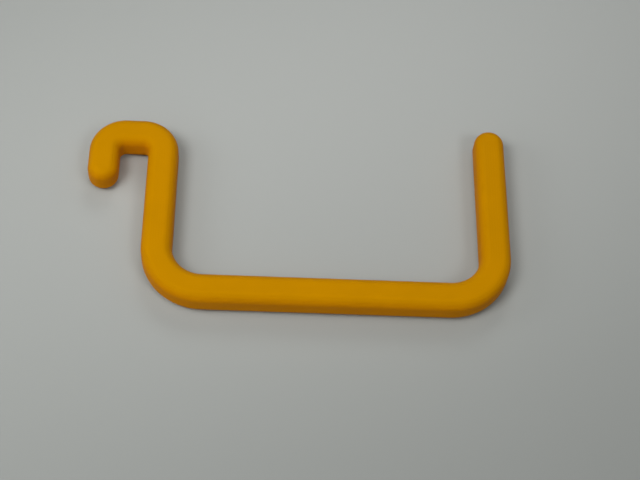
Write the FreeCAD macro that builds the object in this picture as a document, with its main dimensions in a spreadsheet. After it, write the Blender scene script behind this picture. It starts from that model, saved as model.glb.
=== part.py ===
import FreeCAD, Part
import math
import os

import Sketcher

# Pegboard hook in one piece of plastic, made lying flat. One bar of rounded square section runs from
# the tip behind the board, through the peg and down the post, along the bar and up the end.
# It lies with its underside on the plane z = 0. X runs along the bar, from the tip towards the end,
# and Y runs from the bar towards the peg. The origin is under the middle of the overall box.

# Driving dimensions in mm. Each one is a cell of the sheet, with the same name as its alias.
SIZES = {
    "stroke_width": 5.0,        # width of the bar, seen from above, the same all the way
    "thickness": 5.0,           # height of the piece as it lies
    "edge_round": 1.6,          # rounding of every long edge, carried round both ends
    "board_gap": 4.8,           # clear gap between the tip and the post, which takes the board
    "tip_drop": 7.0,            # from the peg's underside to the end of the tip
    "post_height": 34.0,        # from the bar's underside to the top of the peg
    "end_rise": 0.5,            # how much further up than the peg the end reaches
    "clear_span": 50.0,         # clear length of the bar between the post and the end
    "peg_inside_radius": 1.0,   # inside of the two tight bends, at the peg
    "bar_inside_radius": 5.1,   # inside of the two wide bends, at the bar
}
NODE = "pegboard_hook"

START, END, CENTRE = 1, 2, 3  # the points of a line or an arc in a sketch
ORIGIN_POINT = (-1, 1)        # the sketch's own origin, as element and point
TOUCHING = 1e-6               # points nearer than this, in mm, are one


def make_sheet(doc):
    """The sheet of driving dimensions, one row for each."""
    sheet = doc.addObject("Spreadsheet::Sheet", "Sizes")
    for row, (name, value) in enumerate(SIZES.items(), start=1):
        sheet.set(f"A{row}", name)
        sheet.set(f"B{row}", str(value))
        sheet.setAlias(f"B{row}", name)
    doc.recompute()
    return sheet


def origin_plane(body, role):
    """One of the body's own origin planes."""
    return next(plane for plane in body.Origin.OriginFeatures if plane.Role == role)


def point(x, y):
    return FreeCAD.Vector(x, y, 0)


def arc(centre, radius, start_degrees, end_degrees):
    """An arc that turns counter-clockwise from its start to its end."""
    circle = Part.Circle(centre, FreeCAD.Vector(0, 0, 1), radius)
    return Part.ArcOfCircle(circle, math.radians(start_degrees), math.radians(end_degrees))


def outline_geometry(sheet):
    """The outline's lines and arcs by name, clockwise from the tip's outer side."""
    width = sheet.stroke_width
    half = width / 2
    left = -(3 * width + sheet.board_gap + sheet.clear_span) / 2
    bottom = -(sheet.post_height + max(sheet.end_rise, 0)) / 2

    # Middle lines of the five stretches, and middles of the round ends
    tip_x = left + half
    post_x = tip_x + width + sheet.board_gap
    end_x = post_x + width + sheet.clear_span
    bar_y = bottom + half
    peg_y = bottom + sheet.post_height - half
    tip_centre = point(tip_x, peg_y - sheet.tip_drop)
    end_centre = point(end_x, peg_y + sheet.end_rise)

    # Each bend's two arcs share one centre
    peg_inner, peg_outer = sheet.peg_inside_radius, sheet.peg_inside_radius + width
    bar_inner, bar_outer = sheet.bar_inside_radius, sheet.bar_inside_radius + width
    peg_middle, bar_middle = peg_inner + half, bar_inner + half
    tip_bend = point(tip_x + peg_middle, peg_y - peg_middle)
    peg_bend = point(post_x - peg_middle, peg_y - peg_middle)
    bar_bend = point(post_x + bar_middle, bar_y + bar_middle)
    end_bend = point(end_x - bar_middle, bar_y + bar_middle)

    return {
        "tip_outer": Part.LineSegment(point(tip_x - half, tip_centre.y), point(tip_x - half, tip_bend.y)),
        "tip_bend_outer": arc(tip_bend, peg_outer, 90, 180),
        "peg_top": Part.LineSegment(point(tip_bend.x, peg_y + half), point(peg_bend.x, peg_y + half)),
        "peg_bend_outer": arc(peg_bend, peg_outer, 0, 90),
        "post_front": Part.LineSegment(point(post_x + half, peg_bend.y), point(post_x + half, bar_bend.y)),
        "bar_bend_inner": arc(bar_bend, bar_inner, 180, 270),
        "bar_top": Part.LineSegment(point(bar_bend.x, bar_y + half), point(end_bend.x, bar_y + half)),
        "end_bend_inner": arc(end_bend, bar_inner, 270, 360),
        "end_inner": Part.LineSegment(point(end_x - half, end_bend.y), point(end_x - half, end_centre.y)),
        "end_cap": arc(end_centre, half, 0, 180),
        "end_outer": Part.LineSegment(point(end_x + half, end_centre.y), point(end_x + half, end_bend.y)),
        "end_bend_outer": arc(end_bend, bar_outer, 270, 360),
        "bar_bottom": Part.LineSegment(point(end_bend.x, bar_y - half), point(bar_bend.x, bar_y - half)),
        "bar_bend_outer": arc(bar_bend, bar_outer, 180, 270),
        "post_back": Part.LineSegment(point(post_x - half, bar_bend.y), point(post_x - half, peg_bend.y)),
        "peg_bend_inner": arc(peg_bend, peg_inner, 0, 90),
        "peg_bottom": Part.LineSegment(point(peg_bend.x, peg_y - half), point(tip_bend.x, peg_y - half)),
        "tip_bend_inner": arc(tip_bend, peg_inner, 90, 180),
        "tip_inner": Part.LineSegment(point(tip_x + half, tip_bend.y), point(tip_x + half, tip_centre.y)),
        "tip_cap": arc(tip_centre, half, 180, 360),
    }


def meeting_points(shape, following):
    """Which point of each of two neighbours they share."""
    pairs = [(START, shape.StartPoint), (END, shape.EndPoint)]
    others = [(START, following.StartPoint), (END, following.EndPoint)]
    return next((a, b) for a, p in pairs for b, q in others if p.distanceToPoint(q) < TOUCHING)


def sheet_value(sheet, expression):
    """The present value of an expression on the sheet, in mm."""
    return float(sheet.evalExpression(expression.replace("Sizes.", "")))


def add_outline(sketch, sheet):
    """Draws the outline and ties it to the sheet, with no freedom left."""
    shapes = outline_geometry(sheet)
    element = {name: sketch.addGeometry(shape, False) for name, shape in shapes.items()}

    # Every stretch runs smoothly into the next
    names = list(shapes)
    for name, following in zip(names, names[1:] + names[:1]):
        start, end = meeting_points(shapes[name], shapes[following])
        sketch.addConstraint(Sketcher.Constraint("Tangent", element[name], start, element[following], end))
    for bend in ("tip_bend", "peg_bend", "bar_bend", "end_bend"):
        inner, outer = element[bend + "_inner"], element[bend + "_outer"]
        sketch.addConstraint(Sketcher.Constraint("Coincident", inner, CENTRE, outer, CENTRE))
    for name in ("peg_top", "peg_bottom", "bar_top", "bar_bottom"):
        sketch.addConstraint(Sketcher.Constraint("Horizontal", element[name]))
    for name in ("tip_outer", "tip_inner", "post_front", "post_back", "end_inner", "end_outer"):
        sketch.addConstraint(Sketcher.Constraint("Vertical", element[name]))

    def bind(name, expression, kind, *where):
        """Adds a dimension at its present value and ties it to the sheet."""
        index = sketch.addConstraint(Sketcher.Constraint(kind, *where, sheet_value(sheet, expression)))
        sketch.renameConstraint(index, name)
        sketch.setExpression("Constraints." + name, expression)

    bind("stroke_width", "Sizes.stroke_width",
         "DistanceX", element["post_back"], START, element["post_front"], START)
    bind("board_gap", "Sizes.board_gap",
         "DistanceX", element["tip_inner"], START, element["post_back"], START)
    bind("clear_span", "Sizes.clear_span",
         "DistanceX", element["post_front"], START, element["end_inner"], START)
    bind("post_height", "Sizes.post_height",
         "DistanceY", element["bar_bottom"], START, element["peg_top"], START)
    bind("tip_centre", "Sizes.tip_drop - Sizes.stroke_width / 2",
         "DistanceY", element["tip_cap"], CENTRE, element["peg_bottom"], START)
    bind("end_centre", "Sizes.stroke_width / 2 - Sizes.end_rise",
         "DistanceY", element["end_cap"], CENTRE, element["peg_top"], START)
    for bend, size in (("tip_bend", "peg_inside_radius"), ("peg_bend", "peg_inside_radius"),
                       ("bar_bend", "bar_inside_radius"), ("end_bend", "bar_inside_radius")):
        bind(bend + "_radius", "Sizes." + size, "Radius", element[bend + "_inner"])

    # The middle of the overall box lies on the origin
    bind("half_length", "(3 * Sizes.stroke_width + Sizes.board_gap + Sizes.clear_span) / 2",
         "DistanceX", element["tip_outer"], START, *ORIGIN_POINT)
    bind("half_height", "(Sizes.post_height + max(Sizes.end_rise; 0)) / 2",
         "DistanceY", element["bar_bottom"], START, *ORIGIN_POINT)


def flat_faces(shape):
    """Names of the top and bottom faces."""
    levels = (shape.BoundBox.ZMin, shape.BoundBox.ZMax)
    names = []
    for number, face in enumerate(shape.Faces, start=1):
        box = face.BoundBox
        if box.ZLength < TOUCHING and any(abs(box.ZMin - level) < TOUCHING for level in levels):
            names.append(f"Face{number}")
    return names


def make_hook(doc, sheet):
    """The outline, raised to its thickness, with all its edges rounded."""
    body = doc.addObject("PartDesign::Body", "Hook")
    body.Label = NODE

    sketch = body.newObject("Sketcher::SketchObject", "Outline")
    sketch.AttachmentSupport = [(origin_plane(body, "XY_Plane"), "")]
    sketch.MapMode = "FlatFace"
    add_outline(sketch, sheet)
    doc.recompute()

    slab = body.newObject("PartDesign::Pad", "Slab")
    slab.Profile = sketch
    slab.setExpression("Length", "Sizes.thickness")
    doc.recompute()

    rounded = body.newObject("PartDesign::Fillet", "RoundedEdges")
    rounded.Base = (slab, flat_faces(slab.Shape))
    rounded.setExpression("Radius", "Sizes.edge_round")
    doc.recompute()
    return body


def check(doc, body):
    """Stops before anything is written if a feature failed or the solid isn't sound."""
    for item in doc.Objects:
        if "Invalid" in item.State or "Error" in item.State:
            raise RuntimeError(f"{item.Name} failed: {item.State}")
    if body.Shape.isNull() or not body.Shape.isValid() or len(body.Shape.Solids) != 1:
        raise RuntimeError(f"{body.Label} isn't one valid solid")


doc = FreeCAD.newDocument("PegboardHook")
sizes = make_sheet(doc)
hook = make_hook(doc, sizes)
check(doc, hook)

os.makedirs("parts", exist_ok=True)
hook.Shape.exportStep(f"parts/{hook.Label}.step")
box = hook.Shape.optimalBoundingBox(True, False)
print(f"{hook.Label}: {box.XLength:.2f} x {box.YLength:.2f} x {box.ZLength:.2f} mm")
print(f"volume {hook.Shape.Volume:.1f} mm3")
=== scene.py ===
import math
import random

import bpy
from mathutils import Matrix, Vector


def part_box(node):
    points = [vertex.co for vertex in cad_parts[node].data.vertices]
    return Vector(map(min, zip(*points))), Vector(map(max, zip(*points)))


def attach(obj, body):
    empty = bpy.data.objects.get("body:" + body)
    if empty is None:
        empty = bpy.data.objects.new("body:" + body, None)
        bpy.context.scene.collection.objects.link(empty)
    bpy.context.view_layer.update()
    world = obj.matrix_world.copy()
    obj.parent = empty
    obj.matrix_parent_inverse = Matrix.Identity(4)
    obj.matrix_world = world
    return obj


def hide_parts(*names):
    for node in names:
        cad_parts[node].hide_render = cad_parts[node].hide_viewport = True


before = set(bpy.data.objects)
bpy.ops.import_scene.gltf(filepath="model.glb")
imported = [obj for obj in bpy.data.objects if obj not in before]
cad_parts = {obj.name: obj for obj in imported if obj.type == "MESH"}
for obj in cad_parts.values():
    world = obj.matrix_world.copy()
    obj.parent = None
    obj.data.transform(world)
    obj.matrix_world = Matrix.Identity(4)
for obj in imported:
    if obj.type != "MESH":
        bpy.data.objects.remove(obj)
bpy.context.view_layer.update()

NODE = "pegboard_hook"
BODY = "root"
MM = 0.001
QUARTER_TURN = math.pi / 2

# Driving sizes of the hook in metres, the same as the solid's
STROKE_WIDTH = 5.0 * MM
BOARD_GAP = 4.8 * MM
TIP_DROP = 7.0 * MM
POST_HEIGHT = 34.0 * MM
END_RISE = 0.5 * MM
CLEAR_SPAN = 50.0 * MM
PEG_INSIDE_RADIUS = 1.0 * MM
BAR_INSIDE_RADIUS = 5.1 * MM
BAR_OUTSIDE_RADIUS = BAR_INSIDE_RADIUS + STROKE_WIDTH
EDGE_ROUND = 1.6 * MM

# How the hook was printed: flat, in thin layers, each with lines that follow the stroke
LAYERS = 25
TOP_LINES = 8                   # lines side by side on the flat top, and as many on the underside
LAYER_GROOVE = 0.022 * MM       # depth of the groove between two layers
TOP_GROOVE = 0.007 * MM         # depth of the groove between two lines on top
UNDER_GROOVE = 0.004 * MM       # the underside was pressed flat on the printer's bed
LAYER_WANDER = 0.012 * MM       # how far a layer's edge may lie inside its neighbours'
LINE_STEPS = (0.0, 0.14, 0.5, 0.86)  # where a line's rounded back has its points, from groove to groove
SEED = 7                        # for what differs from layer to layer

# How finely the mesh follows the stroke
STRAIGHT_STEP = 2.5 * MM
TURN_STEP = math.radians(4.5)
CAP_STEPS = 24                  # round each end's half turn

# The layers start one above the other on the outside of the bend between post and bar
SEAM_TURN = 0.47                # how far round that bend the starts lie
SEAM_STEPS = (-0.42, -0.26, -0.13, 0.0, 0.13, 0.26, 0.42)  # extra stations across the starts, in mm
SEAM_REACH = 0.5 * MM           # further than this from their middle, the side is as elsewhere
SEAM_WIDTH = 0.17 * MM
SEAM_HEIGHT = 0.045 * MM
SEAM_SHARE = (0.4, 1.0)         # least and greatest share of that height that a layer's start has

# The plastic. Its sides, wherever they face, are painted a deeper, redder tone than its flats: painted
# shade with painted warm bounce light.
FLAT_COLOUR = (0.538, 0.233, 0.0, 1.0)
SIDE_PAINTED_SHADE_COLOUR = (0.565, 0.208, 0.0, 1.0)
SIDE_TURN, FLAT_TURN = 0.3, 0.9     # upright share of the normal, at most on a side and at least on a flat
TONE = (0.975, 1.025)               # how far the plastic's brightness strays
ROUGHNESS = (0.48, 0.60)
SPECULAR_LEVEL = 0.07
SPECULAR_TINT = (1.0, 0.55, 0.02, 1.0)
PATCH_SIZE = (6 * MM, 6 * MM, 6 * MM)
STREAK_SIZE = (5 * MM, 5 * MM, 0.2 * MM)    # each layer has a gloss of its own
GRAIN_SIZE = (0.12 * MM, 0.12 * MM, 0.12 * MM)
GRAIN_HEIGHT = 0.004 * MM
GRAIN_STRENGTH = 0.5
GRAIN_DETAIL = 4.0
NOISE_MIDDLE = (0.3, 0.7)           # the range that most of a noise lies in

# The floor's colour is painted with light and shade: a painted pool of light at its brightest spot, painted
# shade a little darker round it, and painted light paler again far off, where the lamps hardly reach it
FLOOR_COLOUR = (0.441, 0.456, 0.438, 1.0)
FLOOR_PAINTED_SHADE_COLOUR = (0.287, 0.300, 0.286, 1.0)
FLOOR_FAR_PAINTED_LIGHT_COLOUR = (0.80, 0.82, 0.80, 1.0)
FLOOR_PAINTED_LIGHT_SPOT = (9 * MM, 31 * MM, 0)
FLOOR_REACH = (1276 * MM, 734 * MM, 1)      # from the bright spot to where the far colour starts
FLOOR_TURN = math.radians(20.4)             # of the longer reach, counter-clockwise from +X
FLOOR_EDGE = 0.14                           # share of that reach at which the floor is darkest
FLOOR_HALF_SIZE = 1500 * MM
FLOOR_ROUGHNESS = 0.8
FLOOR_SPECULAR_LEVEL = 0.1

# The room's light as large soft lamps. Each has its azimuth, counter-clockwise from +X as seen from
# above, and its elevation in degrees, its distance and diameter in metres, and its level. At level 1,
# a lamp straight above lights the floor so that its colour comes out as written.
SKY_LEVEL = 0.01
HORIZON_LEVEL = 0.14            # how bright the sky is where it is seen, past the floor's end
FULL_POWER = 10.0               # watts at 1 m
LAMPS = (
    ("front_left", 212, 60, 0.42, 0.19, 0.46),
    ("back", 85, 45, 0.30, 0.13, 0.172),
    ("left", 180, 31, 0.233, 0.10, 0.155),
    ("low_front_left", 225, 31, 0.231, 0.10, 0.065),
    ("front_right", 315, 52, 1.0, 0.35, 0.20),
    ("low_front", 270, 12, 1.0, 0.35, 0.04),
    ("above", 0, 90, 1.0, 0.38, 0.14),
    ("right", 30, 36, 0.34, 0.14, 0.05),
)

# The photograph's camera
SENSOR_WIDTH = 36.0             # mm
FOCAL_LENGTH = 78.75            # mm
NEAREST_SEEN = 10 * MM
CAMERA_DISTANCE = 231.5 * MM
CAMERA_TILT = math.radians(30.23)   # away from straight down
CAMERA_YAW = math.radians(5.16)
CAMERA_ROLL = math.radians(6.53)
CAMERA_AIM = Vector((3.94, -3.01, 0.04)) * MM


class Stroke:
    """The middle line of the hook's stroke, drawn from the tip to the upright end."""

    def __init__(self, x, y, heading):
        self.x, self.y, self.heading = x, y, heading
        self.stations = [(x, y, heading)]

    def run(self, length):
        """Goes straight on."""
        count = max(1, math.ceil(length / STRAIGHT_STEP))
        x, y = self.x, self.y
        for step in range(1, count + 1):
            self.x = x + math.cos(self.heading) * length * step / count
            self.y = y + math.sin(self.heading) * length * step / count
            self.stations.append((self.x, self.y, self.heading))

    def turn(self, radius, angle, extra=()):
        """Turns left by a positive angle and right by a negative one.

        extra holds further stops, as angles from the turn's start."""
        side = math.copysign(1, angle)
        start = self.heading
        centre_x = self.x - side * radius * math.sin(start)
        centre_y = self.y + side * radius * math.cos(start)
        count = max(1, math.ceil(abs(angle) / TURN_STEP))
        stops = sorted([abs(angle) * step / count for step in range(1, count + 1)] + list(extra))
        for stop in stops:
            self.heading = start + side * stop
            self.x = centre_x + side * radius * math.sin(self.heading)
            self.y = centre_y - side * radius * math.cos(self.heading)
            self.stations.append((self.x, self.y, self.heading))


def hook_stroke(corner):
    """The stations of the whole hook, and the stroke's heading at the layers' starts."""
    peg_radius = PEG_INSIDE_RADIUS + STROKE_WIDTH / 2
    bar_radius = BAR_INSIDE_RADIUS + STROKE_WIDTH / 2
    stroke = Stroke(corner.x + STROKE_WIDTH / 2,
                    corner.y + POST_HEIGHT - STROKE_WIDTH / 2 - TIP_DROP, QUARTER_TURN)
    stroke.run(TIP_DROP - peg_radius)
    stroke.turn(peg_radius, -QUARTER_TURN)
    stroke.run(STROKE_WIDTH + BOARD_GAP - 2 * peg_radius)
    stroke.turn(peg_radius, -QUARTER_TURN)
    stroke.run(POST_HEIGHT - STROKE_WIDTH - peg_radius - bar_radius)
    seam = QUARTER_TURN * SEAM_TURN
    seam_stops = [seam + step * MM / BAR_OUTSIDE_RADIUS for step in SEAM_STEPS]
    stroke.turn(bar_radius, QUARTER_TURN, seam_stops)
    seam_heading = -QUARTER_TURN + seam
    stroke.run(STROKE_WIDTH + CLEAR_SPAN - 2 * bar_radius)
    stroke.turn(bar_radius, QUARTER_TURN)
    stroke.run(POST_HEIGHT - STROKE_WIDTH + END_RISE - bar_radius)
    return stroke.stations, seam_heading


def inset(level, thickness):
    """How far the rounded side lies inside the stroke's full width at a height."""
    depth = min(level, thickness - level)
    if depth >= EDGE_ROUND:
        return 0.0
    return EDGE_ROUND - math.sqrt(max(0.0, EDGE_ROUND ** 2 - (EDGE_ROUND - depth) ** 2))


def groove(share):
    """Depth under a line's back, from 1 in the groove to 0 on the back, across a line of width 1."""
    return 1 - math.sqrt(max(0.0, 1 - (2 * share - 1) ** 2))


def half_section(thickness, draws):
    """The section's outer half, from the middle of the top round the side to the middle of the underside.

    Each point is (distance from the middle, height, layer's number or None)."""
    layer_height = thickness / LAYERS
    half = STROKE_WIDTH / 2
    top_reach = half - inset(thickness - layer_height, thickness)
    lines = TOP_LINES // 2
    points = []

    def rounded(offset, deep):
        """Height of the top at a distance from the middle, with its groove."""
        over = offset - (half - EDGE_ROUND)
        drop = 0.0 if over <= 0 else EDGE_ROUND - math.sqrt(EDGE_ROUND ** 2 - over ** 2)
        return thickness - drop - deep

    for line in range(lines):
        for share in LINE_STEPS:
            offset = top_reach * (line + share) / lines
            points.append((offset, rounded(offset, TOP_GROOVE * groove(share)), None))
    for layer in range(LAYERS - 2, 0, -1):
        wander = LAYER_WANDER * draws.random()
        for share in LINE_STEPS:
            level = layer_height * (layer + 1 - share)
            side = inset(level, thickness)
            deep = LAYER_GROOVE * groove(share) + wander
            depth = min(level, thickness - level)
            lean = max(0.0, 1 - depth / EDGE_ROUND)
            across = math.sqrt(max(0.0, 1 - lean ** 2))
            sign = 1 if level > thickness / 2 else -1
            points.append((half - side - deep * across, level - sign * deep * lean, layer))
    for line in range(lines - 1, -1, -1):
        for share in LINE_STEPS:
            offset = top_reach * (line + 1 - share) / lines
            points.append((offset, thickness - rounded(offset, UNDER_GROOVE * groove(share)), None))
    points.append((0.0, UNDER_GROOVE, None))
    return points


def hook_mesh():
    """The whole hook as one closed mesh, of four-sided faces but for the middles of its round ends."""
    low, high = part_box(NODE)
    thickness = high.z - low.z
    draws = random.Random(SEED)
    section = half_section(thickness, draws)
    seam_heights = [SEAM_HEIGHT * draws.uniform(*SEAM_SHARE) for _ in range(LAYERS)]
    stations, seam_heading = hook_stroke(low)
    vertices, faces = [], []

    def place(x, y, direction, offset, level):
        """Adds a point at a distance from the middle line, in a direction seen from above."""
        vertices.append((x + math.cos(direction) * offset, y + math.sin(direction) * offset, low.z + level))
        return len(vertices) - 1

    def side_chain(station, direction, top, under, seam=False):
        """Indices of one side's points from the top's middle to the underside's."""
        x, y, heading = station
        chain = [top]
        for offset, level, layer in section[1:-1]:
            if seam and layer is not None:
                away = (heading - seam_heading) * BAR_OUTSIDE_RADIUS
                offset += seam_heights[layer] * math.exp(-(away / SEAM_WIDTH) ** 2)
            chain.append(place(x, y, direction, offset, level))
        return chain + [under]

    def join(chain, following):
        """Faces between two neighbouring chains, whose first and last points may be the same."""
        for a, b, c, d in zip(chain, chain[1:], following[1:], following):
            faces.append(list(dict.fromkeys((a, b, c, d))))

    rights, lefts, middles = [], [], []
    for station in stations:
        x, y, heading = station
        # The bends at the peg pass the same heading, but lie at a greater y
        near_seam = abs(heading - seam_heading) * BAR_OUTSIDE_RADIUS < SEAM_REACH and y < 0
        top = place(x, y, 0.0, 0.0, section[0][1])
        under = place(x, y, 0.0, 0.0, section[-1][1])
        middles.append((top, under))
        rights.append(side_chain(station, heading - QUARTER_TURN, top, under, near_seam))
        lefts.append(side_chain(station, heading + QUARTER_TURN, top, under))
    for right, following in zip(rights, rights[1:]):
        join(right, following)
    for left, following in zip(lefts, lefts[1:]):
        join(following, left)

    def cap(number, first, last, start_direction):
        """Closes the end at a station with the half section turned about its middle."""
        top, under = middles[number]
        chain = first
        for step in range(1, CAP_STEPS):
            direction = start_direction + math.pi * step / CAP_STEPS
            following = side_chain(stations[number], direction, top, under)
            join(chain, following)
            chain = following
        join(chain, last)

    cap(-1, rights[-1], lefts[-1], stations[-1][2] - QUARTER_TURN)
    cap(0, lefts[0], rights[0], stations[0][2] + QUARTER_TURN)
    mesh = bpy.data.meshes.new("hook_print")
    mesh.from_pydata(vertices, [], faces)
    mesh.validate()
    mesh.update()
    for polygon in mesh.polygons:
        polygon.use_smooth = True
    return mesh


def socket(node, name, value):
    node.inputs[name].default_value = value


def add_node(tree, kind, inputs=(), **settings):
    """A new node, with the given sockets' values and settings."""
    node = tree.nodes.new(kind)
    for name, value in settings.items():
        setattr(node, name, value)
    for name, value in dict(inputs).items():
        socket(node, name, value)
    return node


def noise(tree, place, size, detail=2.0):
    """Noise in the object's own space, with features about as large as size in metres."""
    texture = add_node(tree, "ShaderNodeTexNoise", {"Scale": 1.0, "Detail": detail})
    stretched = add_node(tree, "ShaderNodeMapping", {"Scale": [1 / length for length in size]})
    tree.links.new(place, stretched.inputs["Vector"])
    tree.links.new(stretched.outputs["Vector"], texture.inputs["Vector"])
    return texture.outputs[0]


def spread(tree, factor, low, high):
    """The middle part of a noise, spread over the range from low to high."""
    node = add_node(tree, "ShaderNodeMapRange", {
        "From Min": NOISE_MIDDLE[0], "From Max": NOISE_MIDDLE[1], "To Min": low, "To Max": high})
    tree.links.new(factor, node.inputs["Value"])
    return node.outputs["Result"]


def ramp(tree, factor, stops, interpolation="LINEAR"):
    """A colour that runs through the stops, which lie at their places along the factor."""
    node = add_node(tree, "ShaderNodeValToRGB")
    node.color_ramp.interpolation = interpolation
    elements = node.color_ramp.elements
    for place, _ in stops[1:-1]:
        elements.new(place)
    for element, (place, colour) in zip(elements, stops):
        element.position, element.color = place, colour
    tree.links.new(factor, node.inputs["Fac"])
    return node.outputs["Color"]


def plastic():
    """Satin printed plastic, a warm yellow-orange."""
    material = bpy.data.materials.new("hook_plastic")
    material.use_nodes = True
    tree = material.node_tree
    shader = tree.nodes["Principled BSDF"]
    coordinates = add_node(tree, "ShaderNodeTexCoord").outputs
    place = coordinates["Object"]
    patches = noise(tree, place, PATCH_SIZE)
    streaks = noise(tree, place, STREAK_SIZE)
    grain = noise(tree, place, GRAIN_SIZE, GRAIN_DETAIL)

    parts = add_node(tree, "ShaderNodeSeparateXYZ")
    tree.links.new(coordinates["Normal"], parts.inputs["Vector"])
    upright = add_node(tree, "ShaderNodeMath", operation="ABSOLUTE")
    tree.links.new(parts.outputs["Z"], upright.inputs[0])
    # Painted shade: the sides get the deeper, redder colour, the flats the plastic's own.
    colour = ramp(tree, upright.outputs[0], ((SIDE_TURN, SIDE_PAINTED_SHADE_COLOUR), (FLAT_TURN, FLAT_COLOUR)))
    tone = add_node(tree, "ShaderNodeHueSaturation")
    tree.links.new(colour, tone.inputs["Color"])
    tree.links.new(spread(tree, patches, *TONE), tone.inputs["Value"])
    tree.links.new(tone.outputs["Color"], shader.inputs["Base Color"])
    tree.links.new(spread(tree, streaks, *ROUGHNESS), shader.inputs["Roughness"])
    relief = add_node(tree, "ShaderNodeBump", {"Strength": GRAIN_STRENGTH, "Distance": GRAIN_HEIGHT})
    tree.links.new(grain, relief.inputs["Height"])
    tree.links.new(relief.outputs["Normal"], shader.inputs["Normal"])

    socket(shader, "Specular IOR Level", SPECULAR_LEVEL)
    socket(shader, "Specular Tint", SPECULAR_TINT)
    return material


def hook_piece():
    """The printed hook, in place of the plain solid."""
    piece = bpy.data.objects.new("hook_print", hook_mesh())
    bpy.context.scene.collection.objects.link(piece)
    piece.data.materials.append(plastic())
    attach(piece, BODY)
    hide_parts(NODE)


def floor():
    """The pale surface that the hook lies on."""
    size = FLOOR_HALF_SIZE
    corners = [(-size, -size, 0), (size, -size, 0), (size, size, 0), (-size, size, 0)]
    mesh = bpy.data.meshes.new("floor")
    mesh.from_pydata(corners, [], [(0, 1, 2, 3)])
    plane = bpy.data.objects.new("floor", mesh)
    bpy.context.scene.collection.objects.link(plane)
    material = bpy.data.materials.new("floor")
    material.use_nodes = True
    tree = material.node_tree
    shader = tree.nodes["Principled BSDF"]
    place = add_node(tree, "ShaderNodeTexCoord").outputs["Object"]
    ellipse = {"Location": FLOOR_PAINTED_LIGHT_SPOT, "Rotation": (0, 0, FLOOR_TURN), "Scale": FLOOR_REACH}
    from_spot = add_node(tree, "ShaderNodeMapping", ellipse, vector_type="TEXTURE")
    tree.links.new(place, from_spot.inputs["Vector"])
    nearness = add_node(tree, "ShaderNodeTexGradient", gradient_type="SPHERICAL")
    tree.links.new(from_spot.outputs["Vector"], nearness.inputs["Vector"])
    # Painted light and shade on the floor: lightest at the spot, darker round it, paler far off.
    stops = ((0, FLOOR_FAR_PAINTED_LIGHT_COLOUR), (1 - FLOOR_EDGE, FLOOR_PAINTED_SHADE_COLOUR), (1, FLOOR_COLOUR))
    colour = ramp(tree, nearness.outputs["Fac"], stops, "EASE")
    tree.links.new(colour, shader.inputs["Base Color"])
    socket(shader, "Roughness", FLOOR_ROUGHNESS)
    socket(shader, "Specular IOR Level", FLOOR_SPECULAR_LEVEL)
    mesh.materials.append(material)


def lamp(name, azimuth, elevation, distance, size, power):
    """A large soft lamp that points at the hook's middle."""
    data = bpy.data.lights.new(name, "AREA")
    data.shape = "DISK"
    data.size = size
    data.energy = power
    flat = math.cos(elevation)
    away = Vector((flat * math.cos(azimuth), flat * math.sin(azimuth), math.sin(elevation)))
    lamp_object = bpy.data.objects.new(name, data)
    bpy.context.scene.collection.objects.link(lamp_object)
    lamp_object.location = away * distance
    lamp_object.rotation_euler = away.to_track_quat("Z", "Y").to_euler()


def lights():
    """Broad light from above, strongest from the front left, with a little from every side."""
    world = bpy.data.worlds.new("studio")
    bpy.context.scene.world = world
    world.use_nodes = True
    tree = world.node_tree
    background = tree.nodes["Background"]
    socket(background, "Color", (1, 1, 1, 1))
    paths = add_node(tree, "ShaderNodeLightPath").outputs
    seen = paths["Is Camera Ray"]
    for kind in ("Is Glossy Ray", "Is Transmission Ray"):
        either = add_node(tree, "ShaderNodeMath", operation="MAXIMUM")
        tree.links.new(seen, either.inputs[0])
        tree.links.new(paths[kind], either.inputs[1])
        seen = either.outputs[0]
    strength = add_node(tree, "ShaderNodeMapRange", {"To Min": SKY_LEVEL, "To Max": HORIZON_LEVEL})
    tree.links.new(seen, strength.inputs["Value"])
    tree.links.new(strength.outputs["Result"], background.inputs["Strength"])
    for name, azimuth, elevation, distance, size, level in LAMPS:
        power = level * FULL_POWER * distance ** 2
        lamp(name, math.radians(azimuth), math.radians(elevation), distance, size, power)


def camera():
    """The photograph's viewpoint: nearly above, a little from the front."""
    tilt, yaw, roll = CAMERA_TILT, CAMERA_YAW, CAMERA_ROLL
    forward = Vector((math.sin(tilt) * math.sin(yaw), math.sin(tilt) * math.cos(yaw), -math.cos(tilt)))
    level_up = Vector((math.cos(tilt) * math.sin(yaw), math.cos(tilt) * math.cos(yaw), math.sin(tilt)))
    level_right = forward.cross(level_up)
    right = math.cos(roll) * level_right + math.sin(roll) * level_up
    up = math.cos(roll) * level_up - math.sin(roll) * level_right
    data = bpy.data.cameras.new("camera")
    data.lens = FOCAL_LENGTH
    data.sensor_width = SENSOR_WIDTH
    data.clip_start = NEAREST_SEEN
    camera_object = bpy.data.objects.new("camera", data)
    bpy.context.scene.collection.objects.link(camera_object)
    turned = Matrix((right, up, -forward)).transposed().to_4x4()
    camera_object.matrix_world = Matrix.Translation(CAMERA_AIM - CAMERA_DISTANCE * forward) @ turned
    bpy.context.scene.camera = camera_object


camera()
hook_piece()
floor()
lights()
bpy.context.scene.view_settings.view_transform = "Standard"
